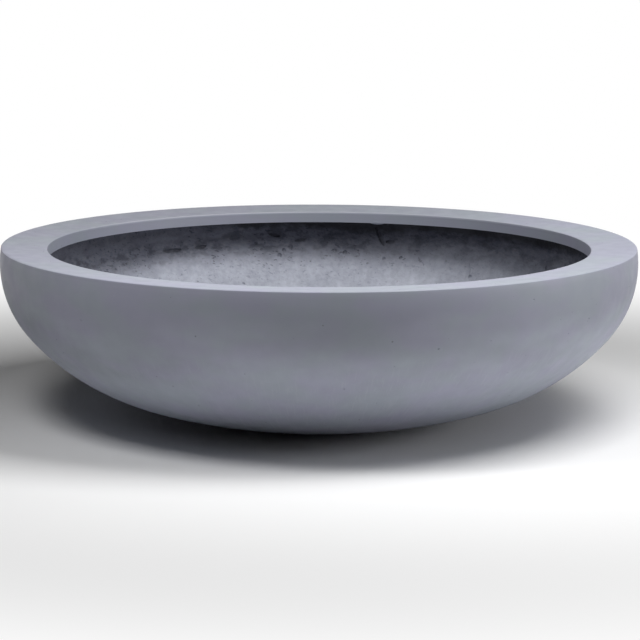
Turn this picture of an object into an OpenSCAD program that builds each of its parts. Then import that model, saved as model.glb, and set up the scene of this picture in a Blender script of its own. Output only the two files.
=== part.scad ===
// Low round concrete bowl planter with a flat, inward-turned rim.
// The shell is a hand-laid laminate of three layers. Every layer is a slice of one section,
// so the section is drawn once and inset by the depth at which a layer starts or ends.
// Millimetres, +Z up, origin on the floor under the middle of the bowl.

/* [Bowl] */
// Widest diameter of the bowl
bowl_d = 803; // [720:1:900]
// Height of the casting, from its flat base to the outer edge of the rim
body_h = 218; // [190:1:250]
// Diameter of the flat base
base_d = 262; // [220:1:310]
// How far below the outer edge of the rim the bowl is widest
widest_drop = 20; // [10:1:35]
// Angle below the horizontal at which the side's arc runs into the shoulder's
side_to = 42; // [38:0.5:46]
// Angle below the horizontal at which the shoulder's arc runs into the belly's
shoulder_to = 73; // [70:0.5:76]
// Radius of the belly's arc, the flattest of the three
belly_r = 700; // [500:10:900]
// Slope of the belly where it leaves the flat base, in degrees
base_rise = 8.3; // [6:0.1:11]

/* [Rim] */
// Width of the rim's top, from its outer edge to the mouth
rim_w = 58; // [40:1:90]
// How far the rim's top falls over that width, towards the mouth
rim_fall = 3; // [0:0.5:8]
// How far the lip leans in over its depth
lip_lean = 1; // [0:0.5:3]
// Radius on the two top edges of the rim
arris_r = 1.5; // [0.5:0.5:3]
// Radius of the cove trowelled under the rim, where the rim meets the wall
cove_r = 15; // [6:1:25]

/* [Layers] */
// Thickness of the smooth facing coat
facing_t = 4; // [3:0.5:6]
// Thickness of the glass-fibre mat laid into the back of the facing
mat_t = 1.5; // [1:0.5:3]
// Thickness of the rough backing coat laid over the mat
backing_t = 8; // [6:0.5:14]
// Concrete kept over the cut edges of the mat
edge_cover = 4; // [2:0.5:5]

/* [Drain plug] */
// Diameter of the drain hole, moulded through all three layers
hole_d = 26; // [20:1:40]
// Clearance round the plug's sealing ribs, on the radius
plug_gap = 0.2; // [0.1:0.05:0.5]
// How far the plug's head reaches past the edge of the hole
head_over = 9; // [5:1:15]
// Thickness of the plug's head
head_t = 5; // [3:0.5:8]
// Radius on the top edge of the plug's head
head_edge = 2; // [1:0.5:2.5]
// Height of a sealing rib, out from the stem
rib_out = 1.5; // [0.5:0.25:3]
// Number of sealing ribs
rib_n = 3; // [2:1:4]
// How far the plug's tail ends above the underside of the base
tail_up = 1; // [0.5:0.5:3]
// Diameter of the neck under the plug's grip
neck_d = 10; // [8:1:14]
// Length of that neck between the head and the grip
neck_h = 4; // [2:1:8]
// Diameter of the ball that the plug is pulled out by
grip_d = 18; // [16:1:24]

/* [Base pads] */
// Number of rubber pads under the base
pad_n = 4; // [3:1:6]
// Diameter of a pad
pad_d = 30; // [20:1:40]
// Thickness of a pad
pad_t = 4; // [2:0.5:8]
// Radius on the lower edge of a pad
pad_edge = 1; // [0.5:0.5:1.5]
// Distance from the edge of the flat base to a pad
pad_inset = 15; // [8:1:30]

/* [Hidden] */
$fn = 180;
arc_sag = 0.1;
PADS = [for (i = [1:pad_n]) str("base_pad_", i)];

// Depths behind the show faces
mat_depth = facing_t;
backing_depth = mat_depth + mat_t;
shell_t = backing_depth + backing_t;

// Heights above the floor
base_z = pad_t;
rim_z = base_z + body_h;
floor_z = base_z + shell_t;

// The outer profile is three arcs, each tangent to the next. The belly's radius is given. The
// side's and the shoulder's are the two lengths that close the chain between the widest point
// and the edge of the flat base.
function way(a) = [cos(a), sin(a)];
function at(c, r, a) = c + r * way(a);
function wedge(p, q) = p.x * q.y - p.y * q.x;

side_a = -side_to;
shoulder_a = -shoulder_to;
belly_a = base_rise - 90;
widest = [bowl_d / 2, rim_z - widest_drop];
base_edge = [base_d / 2, base_z];
to_close = base_edge - widest - belly_r * (way(belly_a) - way(shoulder_a));
side_way = way(side_a) - way(0);
shoulder_way = way(shoulder_a) - way(side_a);
side_r = wedge(to_close, shoulder_way) / wedge(side_way, shoulder_way);
shoulder_r = wedge(side_way, to_close) / wedge(side_way, shoulder_way);
side_c = widest - side_r * way(0);
shoulder_c = at(side_c, side_r - shoulder_r, side_a);
belly_c = at(shoulder_c, shoulder_r - belly_r, shoulder_a);

// Angle round its centre at which the belly's arc, inset by d, meets the floor at that depth
function belly_from(d) = -asin((belly_c.y - base_z - d) / (belly_r - d));

// The rim's top falls from its outer edge to the mouth, where the lip turns down.
rim_r = side_c.x + sqrt(pow(side_r, 2) - pow(widest_drop, 2));
mouth_r = rim_r - rim_w;
mouth_z = rim_z - rim_fall;
fall_a = atan(rim_fall / rim_w);
lean_a = atan(lip_lean / shell_t);
up_way = way(90 + fall_a);
lip_way = way(-lean_a);
function rim_top(r, d) = rim_z - (rim_r - r) * tan(fall_a) - d / cos(fall_a);
function lip_at(z, d) = mouth_r - (mouth_z - z) * tan(lean_a) + d / cos(lean_a);

// A radius inside the lip and a height below it, both clear of it
clear_r = mouth_r - shell_t;
clear_z = mouth_z - 2 * shell_t;

// Centre of the circle of radius r that touches the side and the rim's top, both inset by d
function corner_a(d, r) =
    let (below_top = ([rim_r, rim_z] - side_c) * up_way - d - r)
    fall_a + asin(below_top / (side_r - d - r));
function corner_c(d, r) = at(side_c, side_r - d - r, corner_a(d, r));

// Centre of the circle of radius r that touches the rim's top and the lip, both inset by d
function mouth_c(d, r) =
    let (top = [rim_r, rim_z] * up_way - d - r, lip = [mouth_r, mouth_z] * lip_way + d + r)
    [top * lip_way.y - lip * up_way.y, up_way.x * lip - lip_way.x * top] / wedge(up_way, lip_way);

// Points along an arc round c, close enough for their chords to stay within arc_sag of it. An arc
// of no radius is one point. going_on() leaves the first point out, because the arc before has it.
function arc_n(r, turn) = ceil(abs(turn) / (2 * acos(1 - arc_sag / r)));
function arc(c, r, from, to) =
    r == 0 ? [c]
    : let (n = arc_n(r, to - from)) [for (i = [0:n]) at(c, r, from + (to - from) * i / n)];
function going_on(points) = [for (p = points) if (p != points[0]) p];

// The outside, inset by d, from the flat base up to the rim's top, with a corner of radius r
// between the side and the rim's top
function wall(d, r) = concat(
    arc(belly_c, belly_r - d, belly_from(d), shoulder_a),
    going_on(arc(shoulder_c, shoulder_r - d, shoulder_a, side_a)),
    going_on(arc(side_c, side_r - d, side_a, corner_a(d, r))),
    going_on(arc(corner_c(d, r), r, corner_a(d, r), 90 + fall_a))
);

// Drain plug
hole_r = hole_d / 2;
rib_r = hole_r - plug_gap;
stem_r = rib_r - rib_out;
stem_h = shell_t - tail_up;
rib_pitch = stem_h / rib_n;
head_r = hole_r + head_over;
grip_z = floor_z + head_t + neck_h + grip_d / 2;

// Base pads
pad_r = pad_d / 2;
pad_circle_r = base_edge.x - pad_inset - pad_r;
pad_first_a = 45;

// Half section of all that lies inside the outside and below the rim's top, both inset by d
module filled(d, r)
    let (top_z = rim_top(clear_r, d))
    polygon(concat([[0, base_z + d]], wall(d, r), [[clear_r, top_z], [0, top_z]]));

// The same without the mouth, which starts at the lip inset by d
module lipped(d, r)
    polygon(concat(
        [[0, base_z + d]],
        wall(d, r),
        arc(mouth_c(d, r), r, 90 + fall_a, 180 - lean_a),
        [[lip_at(clear_z, d), clear_z], [0, clear_z]]
    ));

// A round hole down the axis, through the base
module drain(r) translate([0, base_z - shell_t]) square([r, 3 * shell_t]);

// All three layers
module shell()
    difference() {
        lipped(0, arris_r);
        filled(shell_t, cove_r);
        drain(hole_r);
    }

module mat()
    difference() {
        lipped(mat_depth, 0);
        lipped(backing_depth, 0);
        filled(shell_t - edge_cover, 0);
        drain(hole_r + edge_cover);
    }

// Smooth face of the casting: outside, rim's top and lip
module facing_shell()
    color([0.52, 0.53, 0.57])
        rotate_extrude()
            difference() {
                shell();
                lipped(mat_depth, 0);
            }

// Glass-fibre mat, closed in between the two coats
module fibre_mat()
    color([0.86, 0.88, 0.80])
        rotate_extrude() mat();

// Rough inner coat, with the cove under the rim
module backing_shell()
    color([0.42, 0.43, 0.46])
        rotate_extrude()
            difference() {
                intersection() {
                    shell();
                    lipped(mat_depth, 0);
                }
                mat();
            }

// Half section of a disc that stands on z = 0, with its upper edge rounded
module slab(r, t, edge) {
    square([r, t - edge]);
    square([r - edge, t]);
    translate([r - edge, t - edge]) circle(edge);
}

// Rubber plug, pushed in from inside the bowl until its head rests on the floor
module drain_plug()
    color([0.14, 0.14, 0.15])
        rotate_extrude() {
            translate([0, floor_z]) slab(head_r, head_t, head_edge);
            translate([0, floor_z - stem_h]) square([stem_r, stem_h]);
            for (i = [0:rib_n - 1])
                translate([0, floor_z - stem_h + (i + 0.5) * rib_pitch])
                    polygon([[0, 0], [stem_r, 0], [rib_r, rib_out], [0, rib_out]]);
            translate([0, floor_z + head_t]) square([neck_d / 2, neck_h + grip_d / 2]);
            intersection() {
                translate([0, grip_z]) circle(d = grip_d);
                translate([0, grip_z - grip_d]) square(2 * grip_d);
            }
        }

// Rubber pad stuck to the underside of the base
module base_pad(i)
    color([0.18, 0.18, 0.19])
        rotate(pad_first_a + i * 360 / pad_n)
            translate([pad_circle_r, 0, 0])
                rotate_extrude() translate([0, pad_t]) mirror([0, 1]) slab(pad_r, pad_t, pad_edge);

facing_shell();
fibre_mat();
backing_shell();
drain_plug();
for (i = [0:pad_n - 1])
    base_pad(i);
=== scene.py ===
import math

import bmesh
import bpy
from mathutils import Matrix, Vector


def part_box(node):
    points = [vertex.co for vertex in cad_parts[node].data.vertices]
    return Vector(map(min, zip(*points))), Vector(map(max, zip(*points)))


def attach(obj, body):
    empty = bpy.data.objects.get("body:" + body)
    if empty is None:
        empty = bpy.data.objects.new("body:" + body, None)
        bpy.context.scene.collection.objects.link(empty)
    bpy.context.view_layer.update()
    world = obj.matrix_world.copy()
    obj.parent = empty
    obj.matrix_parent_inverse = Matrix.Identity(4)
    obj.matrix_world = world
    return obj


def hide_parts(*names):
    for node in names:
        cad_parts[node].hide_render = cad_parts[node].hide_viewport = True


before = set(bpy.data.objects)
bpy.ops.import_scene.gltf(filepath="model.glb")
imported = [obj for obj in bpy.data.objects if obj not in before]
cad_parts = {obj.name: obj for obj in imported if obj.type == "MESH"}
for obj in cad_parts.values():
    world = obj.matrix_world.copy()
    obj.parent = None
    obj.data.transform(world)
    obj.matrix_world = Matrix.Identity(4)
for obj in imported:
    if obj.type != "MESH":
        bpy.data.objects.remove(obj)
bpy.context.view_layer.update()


# The facing coat is the smooth face of the bowl: fine grey cement mortar, sprayed 4 mm thick into a
# polished mould. It makes the outside, the flat top of the rim and the lip that turns down at the
# mouth. Air bubbles caught against the mould leave pinholes, and one drip has set on the lip's edge.
bowl_d = 0.803
body_h = 0.218
base_d = 0.262
widest_drop = 0.020
side_to = math.radians(42)
shoulder_to = math.radians(73)
belly_r = 0.700
base_rise = math.radians(8.3)
rim_w = 0.058
rim_fall = 0.003
lip_lean = 0.001
arris_r = 0.0015
facing_t = 0.004
shell_t = 0.0135
lip_over = 0.0008
hole_r = 0.013
base_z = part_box("facing_shell")[0].z
rim_z = base_z + body_h


def way(angle):
    """A unit step in the section's plane, where x is the radius and y the height."""
    return Vector((math.cos(angle), math.sin(angle)))


def solve_pair(p, q, total):
    """How much of p and how much of q add up to total."""
    return total.cross(q) / p.cross(q), p.cross(total) / p.cross(q)


widest = Vector((bowl_d / 2, rim_z - widest_drop))
base_edge = Vector((base_d / 2, base_z))
belly_span = belly_r * (way(base_rise - math.pi / 2) - way(-shoulder_to))
side_r, shoulder_r = solve_pair(
    way(-side_to) - way(0), way(-shoulder_to) - way(-side_to), base_edge - widest - belly_span
)
side_c = widest - Vector((side_r, 0))
shoulder_c = side_c + (side_r - shoulder_r) * way(-side_to)
belly_c = shoulder_c + (shoulder_r - belly_r) * way(-shoulder_to)
rim_edge = Vector((side_c.x + math.sqrt(side_r**2 - widest_drop**2), rim_z))
mouth_edge = rim_edge - Vector((rim_w, rim_fall))
fall = math.atan(rim_fall / rim_w)
lean = math.atan(lip_lean / shell_t)
up_way = way(fall + math.pi / 2)
lip_way = way(-lean)

# How far apart the section's points lie at most: where the face is seen closely, on the walls, and
# where it is hidden. The rounded corners are far smaller and have a few points each.
fine_step = 0.0045
wall_step = 0.008
coarse_step = 0.016
corner_points = 5


def line(start, end, step):
    """Points from start up to end, the last one left to the stretch that follows."""
    count = max(1, math.ceil((end - start).length / step))
    return [start.lerp(end, i / count) for i in range(count)]


def arc(centre, radius, start, end, step):
    """Points round centre from one angle up to another, the last one left to what follows."""
    count = max(corner_points, math.ceil(abs(end - start) * radius / step))
    return [centre + radius * way(start + (end - start) * i / count) for i in range(count)]


def rim_corner(depth, corner):
    """Centre of the rounding between the outside and the rim's top, inset by depth, and its start."""
    reach = side_r - depth - corner
    start = fall + math.asin(((rim_edge - side_c).dot(up_way) - depth - corner) / reach)
    return side_c + reach * way(start), start


def wall(depth, corner, step):
    """The outside, inset by depth, from the flat base up to the rim's top."""
    base_from = -math.asin((belly_c.y - base_z - depth) / (belly_r - depth))
    centre, start = rim_corner(depth, corner)
    points = arc(belly_c, belly_r - depth, base_from, -shoulder_to, step)
    points += arc(shoulder_c, shoulder_r - depth, -shoulder_to, -side_to, step)
    points += arc(side_c, side_r - depth, -side_to, start, step)
    return points + (arc(centre, corner, start, fall + math.pi / 2, step) if corner else [])


def rim_start(depth, corner):
    """Where the rim's top, inset by depth, comes out of the rounding."""
    return rim_corner(depth, corner)[0] + corner * up_way


def at_mouth(from_lip, from_top=None):
    """The point at these depths behind the lip and under the rim's top."""
    top = rim_edge.dot(up_way) - (from_lip if from_top is None else from_top)
    lip = mouth_edge.dot(lip_way) + from_lip
    crossing = Vector((top * lip_way.y - lip * up_way.y, up_way.x * lip - lip_way.x * top))
    return crossing / up_way.cross(lip_way)


def link_object(name, data):
    """A new object, linked into the scene."""
    made = bpy.data.objects.new(name, data)
    bpy.context.scene.collection.objects.link(made)
    return made


def blobs(name, places):
    """Smooth closed blobs, each as (start, end, radius): round, or drawn out from one point to another."""
    balls = bmesh.new()
    for start, end, radius in places:
        drawn = (end - start).to_track_quat("Z", "Y").to_matrix().to_4x4()
        half = (radius, radius, radius + (end - start).length / 2, 1)
        shape = Matrix.Translation(start.lerp(end, 0.5)) @ drawn @ Matrix.Diagonal(half)
        bmesh.ops.create_icosphere(balls, subdivisions=3, radius=1, matrix=shape)
    mesh = bpy.data.meshes.new(name)
    balls.to_mesh(mesh)
    balls.free()
    return link_object(name, mesh)


def round_at(turn_deg, point):
    """A point of the section, turned by that many degrees round the axis."""
    return Vector((
        point.x * math.cos(math.radians(turn_deg)), point.x * math.sin(math.radians(turn_deg)), point.y
    ))


def add(tree, kind, inputs=None, **settings):
    """A new node, with values or other nodes' sockets put into its inputs."""
    made = tree.nodes.new(kind)
    for name, value in settings.items():
        setattr(made, name, value)
    for name, value in (inputs or {}).items():
        if isinstance(value, bpy.types.NodeSocket):
            tree.links.new(value, made.inputs[name])
        else:
            made.inputs[name].default_value = value
    return made


def maths(tree, operation, *values):
    """The result of a Math node on these values or sockets."""
    return add(tree, "ShaderNodeMath", dict(enumerate(values)), operation=operation).outputs[0]


def times(tree, product, *factors):
    """The product of these values or sockets."""
    for factor in factors:
        product = maths(tree, "MULTIPLY", product, factor)
    return product


def new_group(name, kind, inputs, outputs):
    """A node group with named sockets, and its input and output nodes."""
    tree = bpy.data.node_groups.new(name, kind)
    for label, socket, default in inputs:
        made = tree.interface.new_socket(label, in_out="INPUT", socket_type=socket)
        if default is not None:
            made.default_value = default
    for label, socket in outputs:
        tree.interface.new_socket(label, in_out="OUTPUT", socket_type=socket)
    return tree, tree.nodes.new("NodeGroupInput").outputs, tree.nodes.new("NodeGroupOutput").inputs


steps_round = 640
weld = 1e-6
noise_roughness = 0.55

# Most air bubbles are small, which the power sees to, and few are quite round
bubble_power = 3.0
flattest, longest = (0.8, 0.8, 0.6), (1.5, 1.2, 1.0)


def number_at(tree, label):
    """The number kept under this label at each point of the mesh."""
    return add(tree, "GeometryNodeInputNamedAttribute", {"Name": label}, data_type="FLOAT").outputs[0]


def swept_round(tree, section, steps):
    """The section carried round the axis and welded shut, with the section's own numbers on it."""
    count = add(tree, "GeometryNodeAttributeDomainSize", {"Geometry": section}).outputs[0]
    rows = maths(tree, "ADD", count, 1)
    columns = maths(tree, "ADD", steps, 1)
    grid = add(tree, "GeometryNodeMeshGrid", {"Vertices X": columns, "Vertices Y": rows}).outputs["Mesh"]
    index = tree.nodes.new("GeometryNodeInputIndex").outputs[0]
    column = maths(tree, "FLOOR", maths(tree, "DIVIDE", maths(tree, "ADD", index, 0.5), rows))
    row = maths(tree, "SUBTRACT", index, times(tree, column, rows))
    on_section = maths(tree, "FLOORED_MODULO", row, count)
    angle = times(tree, maths(tree, "DIVIDE", column, steps), math.tau)

    position = tree.nodes.new("GeometryNodeInputPosition").outputs[0]
    drawn = {"Geometry": section, "Value": position, "Index": on_section}
    drawn = add(tree, "GeometryNodeSampleIndex", drawn, data_type="FLOAT_VECTOR").outputs["Value"]
    flat = add(tree, "ShaderNodeSeparateXYZ", {"Vector": drawn}).outputs
    carried = {
        "X": times(tree, flat["X"], maths(tree, "COSINE", angle)),
        "Y": times(tree, flat["X"], maths(tree, "SINE", angle)),
        "Z": flat["Z"],
    }
    carried = add(tree, "ShaderNodeCombineXYZ", carried).outputs[0]
    for label in ("wander", "pitted"):
        drawn = {"Geometry": section, "Value": number_at(tree, label), "Index": on_section}
        drawn = add(tree, "GeometryNodeSampleIndex", drawn).outputs["Value"]
        kept = {"Geometry": grid, "Name": label, "Value": drawn}
        grid = add(tree, "GeometryNodeStoreNamedAttribute", kept).outputs["Geometry"]
    tube = add(tree, "GeometryNodeSetPosition", {"Geometry": grid, "Position": carried}).outputs[0]
    return add(tree, "GeometryNodeMergeByDistance", {"Geometry": tube, "Distance": weld}).outputs[0]


def wandering(tree, shell, given):
    """The shell with its face let inwards in soft waves, as deep as its wander says."""
    position = tree.nodes.new("GeometryNodeInputPosition").outputs[0]
    lay = add(tree, "ShaderNodeCombineXYZ", {"X": 1.0, "Y": 1.0, "Z": given["Wave Lay"]}).outputs[0]
    laid = add(tree, "ShaderNodeVectorMath", {0: position, 1: lay}, operation="MULTIPLY").outputs[0]
    scale = maths(tree, "DIVIDE", 1.0, given["Wave Length"])
    waves = {"Vector": laid, "Scale": scale, "Detail": given["Wave Detail"], "Roughness": noise_roughness}
    waves = add(tree, "ShaderNodeTexNoise", waves).outputs[0]
    sink = times(tree, waves, number_at(tree, "wander"), -1.0)
    inwards = {"Vector": tree.nodes.new("GeometryNodeInputNormal").outputs[0], "Scale": sink}
    inwards = add(tree, "ShaderNodeVectorMath", inwards, operation="SCALE").outputs[0]
    return add(tree, "GeometryNodeSetPosition", {"Geometry": shell, "Offset": inwards}).outputs[0]


def bubbles(tree, shell, given):
    """Air bubbles of random size and shape, strewn over the stretches that are pitted."""
    strewn = {
        "Mesh": shell,
        "Selection": maths(tree, "GREATER_THAN", number_at(tree, "pitted"), 0.5),
        "Density": given["Pits Per Area"],
        "Seed": given["Seed"],
    }
    strewn = add(tree, "GeometryNodeDistributePointsOnFaces", strewn).outputs
    dice = {2: 0.0, 3: 1.0, "Seed": given["Seed"]}
    dice = add(tree, "FunctionNodeRandomValue", dice, data_type="FLOAT").outputs[1]
    span = maths(tree, "SUBTRACT", given["Pit Radius Max"], given["Pit Radius Min"])
    larger = maths(tree, "POWER", dice, bubble_power)
    larger = maths(tree, "MULTIPLY_ADD", larger, span, given["Pit Radius Min"])
    stretch = {0: flattest, 1: longest, "Seed": given["Seed"]}
    stretch = add(tree, "FunctionNodeRandomValue", stretch, data_type="FLOAT_VECTOR").outputs[0]
    stretch = {"Vector": stretch, "Scale": larger}
    ball = add(tree, "GeometryNodeMeshIcoSphere", {"Radius": 1.0, "Subdivisions": 2}).outputs["Mesh"]
    placed = {
        "Points": strewn["Points"],
        "Instance": ball,
        "Rotation": strewn["Rotation"],
        "Scale": add(tree, "ShaderNodeVectorMath", stretch, operation="SCALE").outputs[0],
    }
    return add(tree, "GeometryNodeInstanceOnPoints", placed).outputs[0]


def turned_shell():
    """Turns a closed section round the axis, lets its face wander in soft waves and cuts pits in it."""
    inputs = [
        ("Section", "NodeSocketGeometry", None),
        ("Steps Round", "NodeSocketInt", steps_round),
        ("Wave Length", "NodeSocketFloat", 0.1),
        ("Wave Lay", "NodeSocketFloat", 1.0),
        ("Wave Detail", "NodeSocketFloat", 1.0),
        ("Pits Per Area", "NodeSocketFloat", 100.0),
        ("Pit Radius Min", "NodeSocketFloat", 0.0005),
        ("Pit Radius Max", "NodeSocketFloat", 0.001),
        ("Seed", "NodeSocketInt", 1),
        ("Cutters", "NodeSocketObject", None),
        ("Lumps", "NodeSocketObject", None),
        ("Finish", "NodeSocketMaterial", None),
    ]
    outputs = [("Shell", "NodeSocketGeometry")]
    tree, given, result = new_group("turned_shell", "GeometryNodeTree", inputs, outputs)
    shell = wandering(tree, swept_round(tree, given["Section"], given["Steps Round"]), given)
    lumps = add(tree, "GeometryNodeObjectInfo", {"Object": given["Lumps"]}).outputs["Geometry"]
    lumpy = add(tree, "GeometryNodeMeshBoolean", operation="UNION", solver="MANIFOLD")
    for joined in (shell, lumps):
        tree.links.new(joined, lumpy.inputs["Mesh 2"])
    placed = add(tree, "GeometryNodeObjectInfo", {"Object": given["Cutters"]}).outputs["Geometry"]
    cutters = tree.nodes.new("GeometryNodeJoinGeometry")
    for joined in (bubbles(tree, shell, given), placed):
        tree.links.new(joined, cutters.inputs[0])
    cut = {"Mesh 1": lumpy.outputs["Mesh"], "Mesh 2": cutters.outputs[0]}
    cut = add(tree, "GeometryNodeMeshBoolean", cut, operation="DIFFERENCE", solver="MANIFOLD").outputs["Mesh"]
    smooth = add(tree, "GeometryNodeSetShadeSmooth", {"Geometry": cut}).outputs[0]
    real = add(tree, "GeometryNodeRealizeInstances", {"Geometry": smooth}).outputs[0]
    finished = {"Geometry": real, "Material": given["Finish"]}
    finished = add(tree, "GeometryNodeSetMaterial", finished).outputs[0]
    tree.links.new(finished, result["Shell"])
    return tree


shell_tree = turned_shell()
sharp_from = math.radians(40)


def graded(ends, count):
    """That many values, the same all over or from the first of a pair to the second."""
    first, last = ends if isinstance(ends, tuple) else (ends, ends)
    return [first + (last - first) * i / count for i in range(count)]


def turn(name, stretches, values, cutters, lumps):
    """The shell tree's plain mesh of a section, which runs anticlockwise as (points, wander, pitted)."""
    section = bpy.data.meshes.new(name + "_section")
    points = [(point.x, 0, point.y) for stretch in stretches for point in stretch[0]]
    section.from_pydata(points, [(i, (i + 1) % len(points)) for i in range(len(points))], [])
    for part, label in ((1, "wander"), (2, "pitted")):
        along = [value for stretch in stretches for value in graded(stretch[part], len(stretch[0]))]
        section.attributes.new(label, "FLOAT", "POINT").data.foreach_set("value", along)
    maker = link_object(name + "_maker", section)
    modifier = maker.modifiers.new("turned", "NODES")
    modifier.node_group = shell_tree
    made = {"Cutters": blobs(name + "_cutters", cutters), "Lumps": blobs(name + "_lumps", lumps)}
    values = values | made
    for item in shell_tree.interface.items_tree:
        if item.name in values:
            modifier[item.identifier] = values[item.name]
    bpy.context.view_layer.update()
    evaluated = maker.evaluated_get(bpy.context.evaluated_depsgraph_get())
    mesh = bpy.data.meshes.new_from_object(evaluated)
    for used in (maker, *made.values()):
        bpy.data.objects.remove(used)
    for label in ("wander", "pitted"):
        if label in mesh.attributes:
            mesh.attributes.remove(mesh.attributes[label])
    mesh.set_sharp_from_angle(angle=sharp_from)
    return link_object(name, mesh)


def plain_material(name, colour):
    """A material's plain start: the material, its tree, its Principled shader and Object coordinates."""
    material = bpy.data.materials.new(name)
    material.use_nodes = True
    tree = material.node_tree
    shader = tree.nodes["Principled BSDF"]
    shader.inputs["Base Color"].default_value = colour
    shader.inputs["Roughness"].default_value = 0.5
    return material, tree, shader, tree.nodes.new("ShaderNodeTexCoord").outputs["Object"]


def mixed(tree, factor, first, second):
    """The colour between two, by a factor that may be a socket."""
    return add(tree, "ShaderNodeMix", {0: factor, 6: first, 7: second}, data_type="RGBA").outputs[2]


def between(tree, value, low, high, to_low=0.0, to_high=1.0):
    """A value ramped softly from one range into another."""
    ramp = {"Value": value, "From Min": low, "From Max": high, "To Min": to_low, "To Max": to_high}
    return add(tree, "ShaderNodeMapRange", ramp, interpolation_type="SMOOTHSTEP").outputs[0]


def marked(tree, colour, mark, mask, strength):
    """The colour with a mark over it, as far as the mark's mask and strength let it show."""
    return mixed(tree, times(tree, mask, strength), colour, mark)


def clouding_group():
    """Soft patches, as cement dries in lighter and darker clouds; Lay spreads them sideways."""
    inputs = [
        ("Position", "NodeSocketVector", None),
        ("Patch Size", "NodeSocketFloat", 0.1),
        ("Lay", "NodeSocketFloat", 1.0),
        ("Detail", "NodeSocketFloat", 2.0),
        ("Contrast", "NodeSocketFloat", 0.2),
    ]
    tree, given, result = new_group("clouding", "ShaderNodeTree", inputs, [("Mask", "NodeSocketFloat")])
    lay = add(tree, "ShaderNodeCombineXYZ", {"X": 1.0, "Y": 1.0, "Z": given["Lay"]}).outputs[0]
    laid = {0: given["Position"], 1: lay}
    laid = add(tree, "ShaderNodeVectorMath", laid, operation="MULTIPLY").outputs[0]
    scale = maths(tree, "DIVIDE", 1.0, given["Patch Size"])
    noise = {"Vector": laid, "Scale": scale, "Detail": given["Detail"], "Roughness": noise_roughness}
    noise = add(tree, "ShaderNodeTexNoise", noise).outputs[0]
    low = maths(tree, "SUBTRACT", 0.5, given["Contrast"])
    high = maths(tree, "ADD", 0.5, given["Contrast"])
    tree.links.new(between(tree, noise, low, high), result["Mask"])
    return tree


def specks_group():
    """Pinholes or grains of sand: round specks, 0.4 to 1.4 times Speck Radius, in a Share of cells."""
    inputs = [
        ("Position", "NodeSocketVector", None),
        ("Spacing", "NodeSocketFloat", 0.01),
        ("Speck Radius", "NodeSocketFloat", 0.001),
        ("Share", "NodeSocketFloat", 0.3),
    ]
    tree, given, result = new_group("specks", "ShaderNodeTree", inputs, [("Mask", "NodeSocketFloat")])
    cells = {"Vector": given["Position"], "Scale": maths(tree, "DIVIDE", 1.0, given["Spacing"])}
    cells = add(tree, "ShaderNodeTexVoronoi", cells).outputs
    dice = add(tree, "ShaderNodeSeparateColor", {"Color": cells["Color"]}).outputs
    chosen = maths(tree, "LESS_THAN", dice["Red"], given["Share"])
    reach = maths(tree, "DIVIDE", given["Speck Radius"], given["Spacing"])
    reach = times(tree, reach, maths(tree, "ADD", dice["Green"], 0.4))
    inside = between(tree, maths(tree, "DIVIDE", cells["Distance"], reach), 0.6, 1.1, 1.0, 0.0)
    tree.links.new(times(tree, inside, chosen), result["Mask"])
    return tree


def grouped(tree, group, inputs):
    """A shader group placed in a material with its own values."""
    return add(tree, "ShaderNodeGroup", inputs, node_tree=group).outputs


def down_the_wall_group():
    """A position that changes little down the wall, for marks drawn out from top to bottom."""
    inputs = [
        ("Position", "NodeSocketVector", None),
        ("Wall Radius", "NodeSocketFloat", 0.35),
        ("Drawn Out", "NodeSocketFloat", 5.0),
    ]
    outputs = [("Position", "NodeSocketVector")]
    tree, given, result = new_group("down_the_wall", "ShaderNodeTree", inputs, outputs)
    parts = add(tree, "ShaderNodeSeparateXYZ", {"Vector": given["Position"]}).outputs
    level = add(tree, "ShaderNodeCombineXYZ", {"X": parts["X"], "Y": parts["Y"]}).outputs[0]
    heading = add(tree, "ShaderNodeVectorMath", {0: level}, operation="NORMALIZE").outputs[0]
    scaled = {0: heading, "Scale": given["Wall Radius"]}
    level = add(tree, "ShaderNodeVectorMath", scaled, operation="SCALE").outputs[0]
    height = maths(tree, "DIVIDE", parts["Z"], given["Drawn Out"])
    upright = add(tree, "ShaderNodeCombineXYZ", {"Z": height}).outputs[0]
    placed = add(tree, "ShaderNodeVectorMath", {0: level, 1: upright}, operation="ADD").outputs[0]
    tree.links.new(placed, result["Position"])
    return tree


def out_and_up_group():
    """How far a point lies out from the axis, and how high."""
    inputs = [("Position", "NodeSocketVector", None)]
    outputs = [("Out", "NodeSocketFloat"), ("Height", "NodeSocketFloat")]
    tree, given, result = new_group("out_and_up", "ShaderNodeTree", inputs, outputs)
    parts = add(tree, "ShaderNodeSeparateXYZ", {"Vector": given["Position"]}).outputs
    level = add(tree, "ShaderNodeCombineXYZ", {"X": parts["X"], "Y": parts["Y"]}).outputs[0]
    out = add(tree, "ShaderNodeVectorMath", {0: level}, operation="LENGTH").outputs["Value"]
    tree.links.new(out, result["Out"])
    tree.links.new(parts["Z"], result["Height"])
    return tree


def ring_mask(tree, out, height, ring_out, ring_up, reach):
    """A mask that is 1 along a level circle round the axis and fades out within reach of it."""
    across = maths(tree, "POWER", maths(tree, "SUBTRACT", out, ring_out), 2.0)
    along = maths(tree, "POWER", maths(tree, "SUBTRACT", height, ring_up), 2.0)
    return between(tree, maths(tree, "SQRT", maths(tree, "ADD", across, along)), 0.0, reach, 1.0, 0.0)


def facing_up_group():
    """1 on faces that look up, fading to 0 on faces that stand upright."""
    inputs = [("Steepest", "NodeSocketFloat", 0.3)]
    tree, given, result = new_group("facing_up", "ShaderNodeTree", inputs, [("Mask", "NodeSocketFloat")])
    normal = tree.nodes.new("ShaderNodeNewGeometry").outputs["Normal"]
    upward = add(tree, "ShaderNodeSeparateXYZ", {"Vector": normal}).outputs["Z"]
    tree.links.new(between(tree, upward, given["Steepest"], 1.0), result["Mask"])
    return tree


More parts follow.
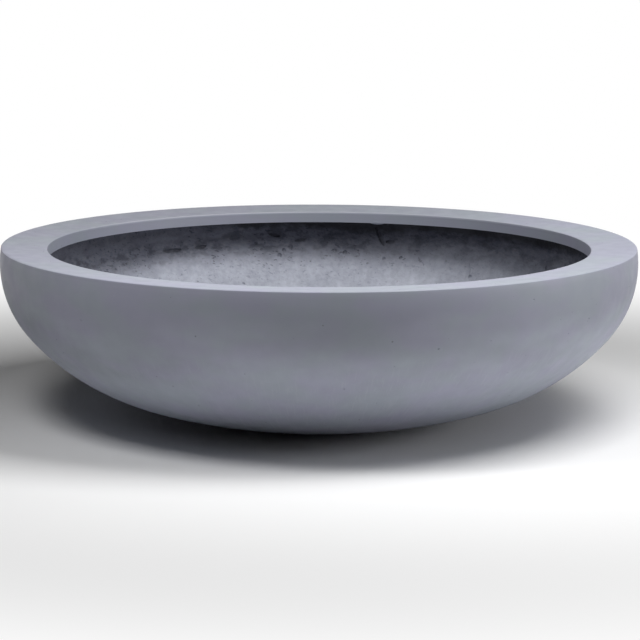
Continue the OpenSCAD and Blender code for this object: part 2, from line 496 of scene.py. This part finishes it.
clouding = clouding_group()
specks = specks_group()
down_the_wall = down_the_wall_group()
out_and_up = out_and_up_group()
facing_up = facing_up_group()


# The rim's top, set apart from the wall by painted light and shade; the wall's wide clouds take it too
facing_rim = (0.280, 0.292, 0.348, 1)
facing_light = (0.358, 0.372, 0.444, 1)
# Painted shade high up the outside, and the mottling's colour too
facing_dark = (0.202, 0.210, 0.252, 1)
# Painted shade on the lip's face
facing_lip_shade = (0.176, 0.183, 0.220, 1)
# Painted shade on the foot
facing_foot_shade = (0.288, 0.300, 0.358, 1)
# A painted highlight on the far arris, and the colour of the faint upright marks too
facing_highlight_and_marks = (0.42, 0.43, 0.48, 1)
# Painted light on the left of the belly and in pools on the rim's top
facing_painted_light = (0.40, 0.42, 0.50, 1)
# Painted shade inside the pinholes
facing_hole_shade = (0.09, 0.09, 0.10, 1)
green_cast = (0.962, 1.006, 0.972, 1)
purple_cast = (0.985, 0.962, 1.018, 1)

# How strongly each mark and the painted highlight show, and the shift that keeps the casts apart from the
# other clouds
facing_shows = {"clouds": 0.3, "mottling": 0.15, "arris_highlight": 0.6, "marks": 0.2, "holes": 0.6}
cast_shift = (0.7, 0.3, 0.1)

# Where one colour runs into the next: heights up the outside, where painted shade darkens it at the rim and
# the foot; X on its left, where painted light pales it; Y on the far arris, where a painted highlight lies
band_from, band_to, band_sway = 0.100, 0.210, 0.03
foot_from, foot_to = 0.085, 0.030
paler_from, paler_to = -0.05, -0.20
paler_high, paler_low = 0.105, 0.080
marks_from = 0.15
highlight_from, highlight_to, highlight_reach = 0.10, 0.25, 0.0035

# Pools of painted light on the rim's top: middle, reach and strength
rim_light_pools = [((0.30, 0.22, rim_z), 0.30, 0.30), ((-0.17, -0.34, rim_z), 0.25, 0.24)]


def facing_clouds(tree, place):
    """The coat's masks: wide clouds, mottling, the two casts, faint upright marks and pinholes."""
    moved = add(tree, "ShaderNodeVectorMath", {0: place, 1: cast_shift}, operation="ADD").outputs[0]
    down = {"Position": place, "Wall Radius": rim_edge.x, "Drawn Out": 7.0}
    down = grouped(tree, down_the_wall, down)[0]
    wide = {"Position": place, "Patch Size": 0.15, "Lay": 2.6, "Contrast": 0.24}
    mottling = {"Position": place, "Patch Size": 0.02, "Detail": 4.0, "Contrast": 0.3}
    cast = {"Position": moved, "Patch Size": 0.07, "Lay": 1.8, "Contrast": 0.16}
    marks = {"Position": down, "Patch Size": 0.0025, "Detail": 1.0, "Contrast": 0.22}
    holes = {"Position": place, "Spacing": 0.016, "Speck Radius": 0.001, "Share": 0.35}
    clouds = [grouped(tree, clouding, inputs)[0] for inputs in (wide, mottling, cast, marks)]
    return *clouds, grouped(tree, specks, holes)[0]


def outside_colour(tree, place, height, wide):
    """The outside, darkened towards the rim and the foot by painted shade, and paled on the left of its belly
    by painted light.
    """
    # Painted shade darkens the outside towards the rim
    sway = times(tree, maths(tree, "SUBTRACT", wide, 0.5), band_sway)
    darker = between(tree, maths(tree, "ADD", height, sway), band_from, band_to)
    colour = mixed(tree, darker, facing_light, facing_dark)
    colour = marked(tree, colour, facing_rim, wide, facing_shows["clouds"])
    # Painted shade darkens the outside towards the foot
    colour = mixed(tree, between(tree, height, foot_from, foot_to), colour, facing_foot_shade)
    # Painted light pales the belly on the left, most low down
    across = add(tree, "ShaderNodeSeparateXYZ", {"Vector": place}).outputs["X"]
    left = between(tree, across, paler_from, paler_to)
    return marked(tree, colour, facing_painted_light, left, between(tree, height, paler_high, paler_low))


def rim_top_colour(tree, place):
    """The rim's top, with pools of painted light on it."""
    colour = facing_rim
    for spot, reach, strength in rim_light_pools:
        away = add(tree, "ShaderNodeVectorMath", {0: place, 1: spot}, operation="DISTANCE").outputs["Value"]
        colour = marked(tree, colour, facing_painted_light, between(tree, away, reach, 0.0), strength)
    return colour


def facing_concrete():
    """Smooth grey mortar: soft clouds with a cast of green or purple, pinholes, painted light and shade on
    the outside, lip and rim, and a painted highlight on the far arris.
    """
    material, tree, shader, place = plain_material("facing_concrete", facing_rim)
    out, height = grouped(tree, out_and_up, {"Position": place})
    wide, mottling, cast, marks, holes = facing_clouds(tree, place)
    colour = outside_colour(tree, place, height, wide)
    # Painted shade on the lip's face, just inside the mouth
    inmost = between(tree, out, mouth_edge.x, mouth_edge.x + arris_r, 1.0, 0.0)
    high_up = between(tree, height, rim_z - 2 * shell_t, rim_z - shell_t)
    colour = marked(tree, colour, facing_lip_shade, inmost, high_up)
    # Faces that look up take the rim's colour: the top and the wall differ by painted light and shade
    colour = mixed(tree, grouped(tree, facing_up, {})[0], colour, rim_top_colour(tree, place))
    tinted = {0: 1.0, 6: colour, 7: mixed(tree, cast, green_cast, purple_cast)}
    colour = add(tree, "ShaderNodeMix", tinted, data_type="RGBA", blend_type="MULTIPLY").outputs[2]
    colour = marked(tree, colour, facing_dark, mottling, facing_shows["mottling"])
    # A painted highlight along the mouth's arris on the far side
    back = add(tree, "ShaderNodeSeparateXYZ", {"Vector": place}).outputs["Y"]
    arris_highlight = ring_mask(tree, out, height, mouth_edge.x, mouth_edge.y, highlight_reach)
    arris_highlight = times(tree, arris_highlight, between(tree, back, highlight_from, highlight_to))
    colour = marked(tree, colour, facing_highlight_and_marks, arris_highlight, facing_shows["arris_highlight"])
    marks = times(tree, between(tree, marks, 0.75, 1.0), between(tree, height, marks_from, band_from))
    colour = marked(tree, colour, facing_highlight_and_marks, marks, facing_shows["marks"])
    # Painted shade inside the pinholes
    colour = marked(tree, colour, facing_hole_shade, holes, facing_shows["holes"])
    tree.links.new(colour, shader.inputs["Base Color"])
    tree.links.new(between(tree, mottling, 0.0, 1.0, 0.50, 0.60), shader.inputs["Roughness"])
    grain = add(tree, "ShaderNodeTexNoise", {"Vector": place, "Scale": 900.0, "Detail": 2.0}).outputs[0]
    relief = maths(tree, "SUBTRACT", times(tree, grain, 0.25), holes)
    bump = add(tree, "ShaderNodeBump", {"Height": relief, "Strength": 0.25, "Distance": 0.0004})
    tree.links.new(bump.outputs[0], shader.inputs["Normal"])
    return material


# The drip lies along the lip's edge, between two places given in degrees round the axis and by how
# far above the edge they are
lip_depth = shell_t + lip_over
drip_r = 0.003
drip_ends = [(78.3, 0.0014), (75.5, 0.0006)]
lip_drip = [round_at(turn_deg, at_mouth(drip_r, lip_depth - above)) for turn_deg, above in drip_ends]

# How deep the face wanders inwards on each stretch
outside_wander = 0.0003
rim_wander = 0.0001
lip_wander = 0.0002
lip_edge_wander = 0.0006
facing = turn(
    "facing",
    [
        (line(Vector((hole_r, base_z)), base_edge, coarse_step), 0, 0),
        (wall(0, arris_r, wall_step), outside_wander, 1),
        (line(rim_start(0, arris_r), at_mouth(arris_r) + arris_r * up_way, fine_step), rim_wander, 1),
        (arc(at_mouth(arris_r), arris_r, fall + math.pi / 2, math.pi - lean, fine_step), 0, 0),
        (line(at_mouth(arris_r) - arris_r * lip_way, at_mouth(0, lip_depth), fine_step), lip_wander, 0),
        (line(at_mouth(0, lip_depth), at_mouth(facing_t, lip_depth), fine_step), lip_edge_wander, 0),
        (line(at_mouth(facing_t, lip_depth), at_mouth(facing_t), coarse_step), 0, 0),
        (line(at_mouth(facing_t), rim_start(facing_t, 0), coarse_step), 0, 0),
        (wall(facing_t, 0, coarse_step)[::-1], 0, 0),
        ([Vector((hole_r, base_z + facing_t))], 0, 0),
    ],
    {
        "Steps Round": steps_round,
        "Wave Length": 0.12,
        "Wave Detail": 1.0,
        "Pits Per Area": 450.0,
        "Pit Radius Min": 0.0004,
        "Pit Radius Max": 0.0011,
        "Seed": 7,
        "Finish": facing_concrete(),
    },
    [],
    [(*lip_drip, drip_r)],
)
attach(facing, "bowl")
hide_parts("facing_shell")


# The glass-fibre mat is chopped strand, wetted out with cement slurry and laid into the back of the
# facing while that is still green. It is closed in between the two coats and shows nowhere.
mat_t = 0.0015
edge_cover = 0.004
strand_turns = [0.3, 1.4, 2.5]
strand_roll, strand_tilt = 0.4, 0.2
strand_length = 14.0
strand_scale = 40.0
slurry_colour = (0.30, 0.31, 0.33, 1)
strand_colour = (0.74, 0.78, 0.66, 1)


def finish_node(name, material):
    """Puts a finish on a node that keeps its own solid."""
    slots = bpy.data.objects[name].data.materials
    slots.clear()
    slots.append(material)


def fibre_mat():
    """Chopped strands lying every way in grey slurry."""
    material, tree, shader, place = plain_material("glass_fibre_mat", slurry_colour)
    strands = 0.0
    for turned_by in strand_turns:
        drawn_out = {
            "Vector": place,
            "Rotation": (strand_roll * turned_by, strand_tilt, turned_by),
            "Scale": (1.0, strand_length, strand_length),
        }
        drawn_out = add(tree, "ShaderNodeMapping", drawn_out).outputs[0]
        noise = add(tree, "ShaderNodeTexNoise", {"Vector": drawn_out, "Scale": strand_scale}).outputs[0]
        strands = maths(tree, "MAXIMUM", between(tree, noise, 0.55, 0.62), strands)
    tree.links.new(mixed(tree, strands, slurry_colour, strand_colour), shader.inputs["Base Color"])
    tree.links.new(between(tree, strands, 0.0, 1.0, 0.9, 0.45), shader.inputs["Roughness"])
    bump = add(tree, "ShaderNodeBump", {"Height": strands, "Strength": 0.6, "Distance": 0.0005})
    tree.links.new(bump.outputs[0], shader.inputs["Normal"])
    return material


finish_node("fibre_mat", fibre_mat())


# The backing coat is the same cement with glass strands in it, laid over the mat by hand from
# inside and pressed down with a roller and a trowel. It is left rough: lumps, drag marks and pits
# show on the wall, and a thick cove is wiped into the corner under the rim.
cove_r = 0.015
head_r = 0.022
seat_margin = 0.008
backing_depth = facing_t + mat_t
floor_z = base_z + shell_t

# Above rough_z the face is rougher, so that its section has more points. Its waves and hollows are
# rough_wave long and drawn out sideways.
rough_z = 0.150
rough_step = 0.6 * fine_step
rough_wave = 0.018
rough_lay = 1.8

# Painted light on the lower wall
backing_lit_low = (0.640, 0.665, 0.745, 1)
backing_light = (0.410, 0.427, 0.490, 1)
backing_mid = (0.345, 0.360, 0.418, 1)
# The painted shadow of the rim on the wall, and the mottling's colour too
backing_dark = (0.098, 0.104, 0.134, 1)
backing_lump = (0.150, 0.152, 0.182, 1)
# Painted light on the left, high in the rim's shadow
backing_lit_left = (0.148, 0.152, 0.186, 1)
# Painted shade on the right and in the hollows, and the colour of the dark dabs too
backing_shade_and_dabs = (0.034, 0.036, 0.050, 1)
# Painted shade, nearly black, in the cove under the rim
backing_cove_shade = (0.014, 0.014, 0.018, 1)
# Painted shade inside the pinholes
backing_hole_shade = (0.07, 0.068, 0.075, 1)

# How strongly each mark and each painted light and shade shows, and by how many radians a metre up the
# slanting ones lean
backing_shows = {"patches": 0.8, "streaks": 0.5, "mottling": 0.2, "holes": 0.5}
shadow_shows = {"fibres": 0.6, "shade_right": 0.35, "hollows": 0.75, "lit_left": 0.65, "deep": 0.95}
slant = 1.2

# The painted shadow of the rim on the wall under it: the heights that it comes in over, how far it
# rises on the right and sinks on the left, and the X between which it does so
shadow_from, shadow_to, shadow_sway = 0.1365, 0.1755, 0.002
shadow_up, up_from, up_to, up_end = 0.0055, 0.09, 0.15, 0.31
shadow_down, down_from, down_to = 0.0085, -0.14, -0.26

# X over which painted shade deepens the rim's shadow on the right, and X and heights of the painted light on
# the left
shade_right_from, shade_right_to = -0.06, 0.10
lit_left_from, lit_left_to = -0.10, -0.18
lit_left_low, lit_left_high = 0.168, 0.182

# Heights over which the lower wall loses its painted light, the streaks and dabs come in, and painted
# shade turns the cove nearly black, cove_up higher away from the painted shade on the right
lit_low_from, lit_low_to = 0.09, 0.14
streaks_from, streaks_to = 0.050, 0.120
dabs_from, dabs_to = 0.100, 0.165
cove_from, cove_to, cove_up = 0.181, 0.193, 0.008


def backing_clouds(tree, place, height):
    """The coat's masks: patches, mottling, hollows, fibres and dabs on a slant, streaks and holes."""
    down = {"Position": place, "Wall Radius": mouth_edge.x, "Drawn Out": 5.0}
    down = grouped(tree, down_the_wall, down)[0]
    slanted = {"Vector": place, "Angle": times(tree, height, -slant)}
    slanted = add(tree, "ShaderNodeVectorRotate", slanted, rotation_type="Z_AXIS").outputs[0]
    patches = {"Position": place, "Patch Size": 0.045, "Detail": 5.0}
    mottling = {"Position": place, "Patch Size": 0.007, "Detail": 4.0}
    hollows = {"Position": place, "Patch Size": rough_wave, "Lay": rough_lay, "Detail": 4.0}
    fibres = {"Position": slanted, "Patch Size": 0.007, "Lay": 1.6, "Detail": 5.0, "Contrast": 0.16}
    dabs = {"Position": slanted, "Patch Size": 0.0055, "Lay": 1.6, "Detail": 1.5}
    streaks = {"Position": down, "Patch Size": 0.009, "Detail": 3.0}
    holes = {"Position": place, "Spacing": 0.013, "Speck Radius": 0.0012, "Share": 0.35}
    clouds = [patches, mottling, hollows, fibres, dabs, streaks]
    clouds = [grouped(tree, clouding, inputs)[0] for inputs in clouds]
    return *clouds, grouped(tree, specks, holes)[0]


def shadow_level(tree, across, height, sway):
    """The height that the painted shadow of the rim goes by: uneven, lowered where it rises and raised where
    it sinks.
    """
    sunk = times(tree, between(tree, across, down_from, down_to), shadow_down)
    risen = times(tree, between(tree, across, up_from, up_to), between(tree, across, up_end, up_to))
    level = maths(tree, "ADD", height, times(tree, sway, shadow_sway))
    level = maths(tree, "ADD", level, sunk)
    return maths(tree, "SUBTRACT", level, times(tree, risen, shadow_up))


def unshadowed_colour(tree, height, patches, streaks, mottling):
    """The cement below the rim's painted shadow, paled lower down by painted light."""
    # Painted light pales the wall lower down
    colour = mixed(tree, between(tree, height, lit_low_from, lit_low_to), backing_lit_low, backing_light)
    colour = marked(tree, colour, backing_mid, patches, backing_shows["patches"])
    colour = marked(tree, colour, backing_mid, streaks, backing_shows["streaks"])
    return marked(tree, colour, backing_dark, mottling, backing_shows["mottling"])


def shadowed_colour(tree, across, lit_left, fibres, hollows):
    """The painted shadow of the rim, with painted shade deeper on the right and in the hollows, and painted
    light on the left that takes the hollows' shade away.
    """
    # Painted shade, deeper on the right
    shade_right = between(tree, across, shade_right_from, shade_right_to, 0.0, shadow_shows["shade_right"])
    # Painted shade in the hollows
    hollow_shade = between(tree, hollows, 0.3, 1.0, 0.0, shadow_shows["hollows"])
    colour = marked(tree, backing_dark, backing_lump, fibres, shadow_shows["fibres"])
    colour = mixed(tree, shade_right, colour, backing_shade_and_dabs)
    colour = mixed(tree, hollow_shade, colour, backing_shade_and_dabs)
    return mixed(tree, lit_left, colour, backing_lit_left)


def dab_mask(tree, across, height, patches, dabs):
    """Small dark dabs, more of them higher up, to the left and in the darker patches."""
    return times(
        tree,
        between(tree, dabs, 0.88, 1.0),
        between(tree, height, dabs_from, dabs_to),
        between(tree, across, up_end, 0.0, 0.3, 1.0),
        between(tree, patches, 0.1, 0.7, 0.2, 0.7),
    )


def backing_concrete():
    """Rough hand-laid cement: streaked and paled by painted light low down, lumpy, with the rim's painted
    shadow above and painted shade nearly black at the cove.
    """
    material, tree, shader, place = plain_material("backing_concrete", backing_light)
    height = grouped(tree, out_and_up, {"Position": place})["Height"]
    across = add(tree, "ShaderNodeSeparateXYZ", {"Vector": place}).outputs["X"]
    patches, mottling, hollows, fibres, dabs, streaks, holes = backing_clouds(tree, place, height)
    streaks = times(tree, streaks, between(tree, height, streaks_from, streaks_to))
    # The painted shadow of the rim, uneven along its edge
    level = shadow_level(tree, across, height, maths(tree, "ADD", patches, hollows))
    # Painted light on the left, high in the rim's shadow
    lit_left = between(tree, across, lit_left_from, lit_left_to, 0.0, shadow_shows["lit_left"])
    lit_left = times(tree, lit_left, between(tree, height, lit_left_low, lit_left_high))
    unshadowed = unshadowed_colour(tree, height, patches, streaks, mottling)
    shadowed = shadowed_colour(tree, across, lit_left, fibres, hollows)
    colour = mixed(tree, between(tree, level, shadow_from, shadow_to), unshadowed, shadowed)
    colour = mixed(tree, dab_mask(tree, across, height, patches, dabs), colour, backing_shade_and_dabs)
    # Painted shade turns the cove nearly black, starting higher away from the right
    raised = between(tree, across, shade_right_from, shade_right_to, cove_up, 0.0)
    deep = maths(tree, "SUBTRACT", level, raised)
    deep = between(tree, deep, cove_from, cove_to, 0.0, shadow_shows["deep"])
    colour = marked(tree, colour, backing_cove_shade, deep, maths(tree, "SUBTRACT", 1.0, lit_left))
    # Painted shade inside the pinholes
    colour = marked(tree, colour, backing_hole_shade, holes, backing_shows["holes"])
    tree.links.new(colour, shader.inputs["Base Color"])
    tree.links.new(between(tree, patches, 0.0, 1.0, 0.75, 0.9), shader.inputs["Roughness"])
    sand = add(tree, "ShaderNodeTexNoise", {"Vector": place, "Scale": 350.0, "Detail": 4.0}).outputs[0]
    rough = maths(tree, "ADD", times(tree, sand, 0.6), times(tree, streaks, 0.4))
    relief = maths(tree, "SUBTRACT", rough, maths(tree, "ADD", mottling, holes))
    bump = add(tree, "ShaderNodeBump", {"Height": relief, "Strength": 0.6, "Distance": 0.0012})
    tree.links.new(bump.outputs[0], shader.inputs["Normal"])
    return material


# How far behind the face the larger marks are centred
dent = 0.0008
groove = 0.0020

# The larger marks, where the real ones are: pits as degrees round the axis, height and radius, and
# grooves as two ends in degrees and height, a radius and a depth
wall_pits = [
    (103.1, 0.171, 0.0030),
    (98.3, 0.154, 0.0034),
    (97.3, 0.161, 0.0028),
    (95.9, 0.165, 0.0034),
    (86.8, 0.160, 0.0030),
    (84.6, 0.158, 0.0032),
    (76.3, 0.151, 0.0026),
    (72.7, 0.153, 0.0026),
    (56.1, 0.135, 0.0030),
    (37.0, 0.159, 0.0034),
    (106.9, 0.119, 0.0024),
]
wall_grooves = [
    ((78.2, 0.191), (76.6, 0.169), 0.0036, groove),
    ((75.9, 0.173), (74.6, 0.174), 0.0030, groove),
    ((57.1, 0.151), (56.3, 0.137), 0.0016, dent),
    ((94.8, 0.173), (92.9, 0.176), 0.0030, groove),
    ((100.1, 0.184), (98.5, 0.180), 0.0034, groove),
    ((116.2, 0.1675), (114.1, 0.1695), 0.0030, groove),
    ((123.6, 0.166), (119.6, 0.167), 0.0030, groove),
]


def in_wall(turn_deg, height, depth):
    """The point that far behind the face of the inner wall, at that height above the floor."""
    face = wall(shell_t - depth, cove_r, fine_step)
    above = next(i for i, point in enumerate(face) if point.y > height)
    low, high = face[above - 1], face[above]
    return round_at(turn_deg, low.lerp(high, (height - low.y) / (high.y - low.y)))


calm_wall = [point for point in wall(shell_t, cove_r, wall_step) if point.y < rough_z]
rough_wall = [point for point in wall(shell_t, cove_r, rough_step) if point.y >= rough_z]
wall_marks = wall_grooves + [((at, up), (at, up), radius, dent) for at, up, radius in wall_pits]
drain_top = Vector((hole_r, floor_z))
floor_edge = wall(shell_t, 0, coarse_step)[0]
seat_edge = Vector((head_r + seat_margin, floor_z))
cover_r = hole_r + edge_cover
mat_edge_depth = shell_t - edge_cover
mat_cover = at_mouth(facing_t, mat_edge_depth)
mat_corner = at_mouth(backing_depth, mat_edge_depth)

# How deep the face wanders under the rim, at the cove, at rough_z and on the floor
flange_wander = 0.0025
cove_wander = 0.0034
wall_wander = 0.0009
floor_wander = 0.0006
backing = turn(
    "backing",
    [
        ([Vector((hole_r, base_z + facing_t)), Vector((cover_r, base_z + facing_t))], 0, 0),
        ([Vector((cover_r, base_z + backing_depth))], 0, 0),
        (wall(backing_depth, 0, coarse_step), 0, 0),
        (line(rim_start(backing_depth, 0), at_mouth(backing_depth), coarse_step), 0, 0),
        (line(at_mouth(backing_depth), mat_corner, coarse_step), 0, 0),
        (line(mat_corner, mat_cover, coarse_step), 0, 0),
        (line(mat_cover, at_mouth(facing_t, shell_t), coarse_step), 0, 0),
        (line(at_mouth(facing_t, shell_t), rim_start(shell_t, cove_r), fine_step), flange_wander, 1),
        (rough_wall[::-1], (cove_wander, wall_wander), 1),
        (calm_wall[::-1], (wall_wander, floor_wander), 1),
        (line(floor_edge, seat_edge, wall_step), floor_wander, 1),
        ([seat_edge, drain_top], 0, 0),
    ],
    {
        "Steps Round": steps_round,
        "Wave Length": rough_wave,
        "Wave Lay": rough_lay,
        "Wave Detail": 3.0,
        "Pits Per Area": 160.0,
        "Pit Radius Min": 0.0007,
        "Pit Radius Max": 0.0022,
        "Seed": 11,
        "Finish": backing_concrete(),
    },
    [(in_wall(*start, depth), in_wall(*end, depth), radius) for start, end, radius, depth in wall_marks],
    [],
)
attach(backing, "bowl")
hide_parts("backing_shell")


# The drain plug is moulded in black rubber and pushed into the drain hole from inside, until its
# head lies on the floor of the bowl. It is pulled out by the ball on top.
plug_colour = (0.020, 0.020, 0.022, 1)
plug_dust = 0.35
dust_colour = (0.16, 0.155, 0.15, 1)


def rubber(name, colour, dusty):
    """Matt moulded rubber with a fine grain, and cement dust where it lies open to the top."""
    material, tree, shader, place = plain_material(name, colour)
    cloud = grouped(tree, clouding, {"Position": place, "Patch Size": 0.012, "Detail": 3.0})[0]
    dust = times(tree, grouped(tree, facing_up, {})[0], cloud)
    tree.links.new(marked(tree, colour, dust_colour, dust, dusty), shader.inputs["Base Color"])
    tree.links.new(between(tree, cloud, 0.0, 1.0, 0.55, 0.75), shader.inputs["Roughness"])
    grit = {"Position": place, "Spacing": 0.0011, "Speck Radius": 0.0004, "Share": 0.8}
    grit = grouped(tree, specks, grit)[0]
    bump = add(tree, "ShaderNodeBump", {"Height": grit, "Strength": 0.3, "Distance": 0.00015})
    tree.links.new(bump.outputs[0], shader.inputs["Normal"])
    return material


finish_node("drain_plug", rubber("plug_rubber", plug_colour, plug_dust))


# Four rubber pads are stuck to the underside of the base, so that the bowl stands off the ground
# and water runs out from under it.
pad_colour = (0.030, 0.030, 0.032, 1)
pad_dust = 0.15
pad_rubber = rubber("pad_rubber", pad_colour, pad_dust)
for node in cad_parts:
    if node.startswith("base_pad"):
        finish_node(node, pad_rubber)


# The camera stands 4 m in front of the bowl and a little above it, behind a long lens.
camera_at = Vector((0.0014, -4.0, rim_z + 0.5537))
camera_pitch = math.radians(90 - 9.244)
camera_roll = math.radians(0.190)
camera_lens = 179.9
camera = link_object("camera", bpy.data.cameras.new("camera"))
aimed = Matrix.Rotation(camera_pitch, 4, "X") @ Matrix.Rotation(camera_roll, 4, "Z")
camera.matrix_world = Matrix.Translation(camera_at) @ aimed
camera.data.lens = camera_lens
camera.data.clip_end = 100
bpy.context.scene.camera = camera


# A pale studio floor keeps the bowl's shadow and runs out to plain white further off.
floor_colour = (0.84, 0.84, 0.84, 1)
floor_reach = 20
fade_from, fade_to = 0.55, 1.3
white = (1, 1, 1, 1)


def seen_plainly(tree):
    """1 for what the camera sees itself, in a reflection or through glass."""
    rays = tree.nodes.new("ShaderNodeLightPath").outputs
    mirrored = maths(tree, "MAXIMUM", rays["Is Glossy Ray"], rays["Is Transmission Ray"])
    return maths(tree, "MAXIMUM", rays["Is Camera Ray"], mirrored)


def studio_floor():
    """Matt paper near the bowl, and plain white to the eye away from it."""
    material, tree, shader, place = plain_material("studio_floor", floor_colour)
    shader.inputs["Roughness"].default_value = 0.9
    shader.inputs["Specular IOR Level"].default_value = 0.0
    away = add(tree, "ShaderNodeVectorMath", {0: place}, operation="LENGTH").outputs["Value"]
    shown = times(tree, between(tree, away, fade_from, fade_to), seen_plainly(tree))
    glow = add(tree, "ShaderNodeEmission", {"Color": white, "Strength": 1.0})
    both = add(tree, "ShaderNodeMixShader", {0: shown, 1: shader.outputs[0], 2: glow.outputs[0]})
    tree.links.new(both.outputs[0], tree.nodes["Material Output"].inputs["Surface"])
    return material


floor_mesh = bpy.data.meshes.new("floor")
corners = [(-floor_reach, -floor_reach, 0), (floor_reach, -floor_reach, 0)]
corners += [(floor_reach, floor_reach, 0), (-floor_reach, floor_reach, 0)]
floor_mesh.from_pydata(corners, [], [(0, 1, 2, 3)])
floor_mesh.materials.append(studio_floor())
floor = link_object("floor", floor_mesh)


# The room behind is plain white to the eye, and gives hardly any light of its own.
room_light = 0.02
world = bpy.data.worlds.new("room")
bpy.context.scene.world = world
world.use_nodes = True
room = world.node_tree
background = room.nodes["Background"].inputs
background["Color"].default_value = white
room.links.new(between(room, seen_plainly(room), 0.0, 1.0, room_light, 1.0), background["Strength"])


# Softboxes on stands: the main light hangs over the right of the bowl, one stands to the right and a
# small one is held over the front left. Each has a name, a place, a width and a power in watts.
softboxes = [
    ("overhead", (0.50, -0.40, 1.10), 0.7, 14.1),
    ("right", (2.17, -0.38, 0.60), 0.7, 12.5),
    ("front_left", (-0.51, -0.61, 0.85), 0.3, 4.0),
]
for softbox, stands_at, width, power in softboxes:
    lamp = link_object(softbox, bpy.data.lights.new(softbox, "AREA"))
    lamp.data.size = width
    lamp.data.energy = power
    lamp.location = stands_at
    lamp.rotation_euler = (Vector((0, 0, rim_z / 2)) - lamp.location).to_track_quat("-Z", "Y").to_euler()
    lamp.visible_camera = False

bpy.context.scene.view_settings.view_transform = "Standard"
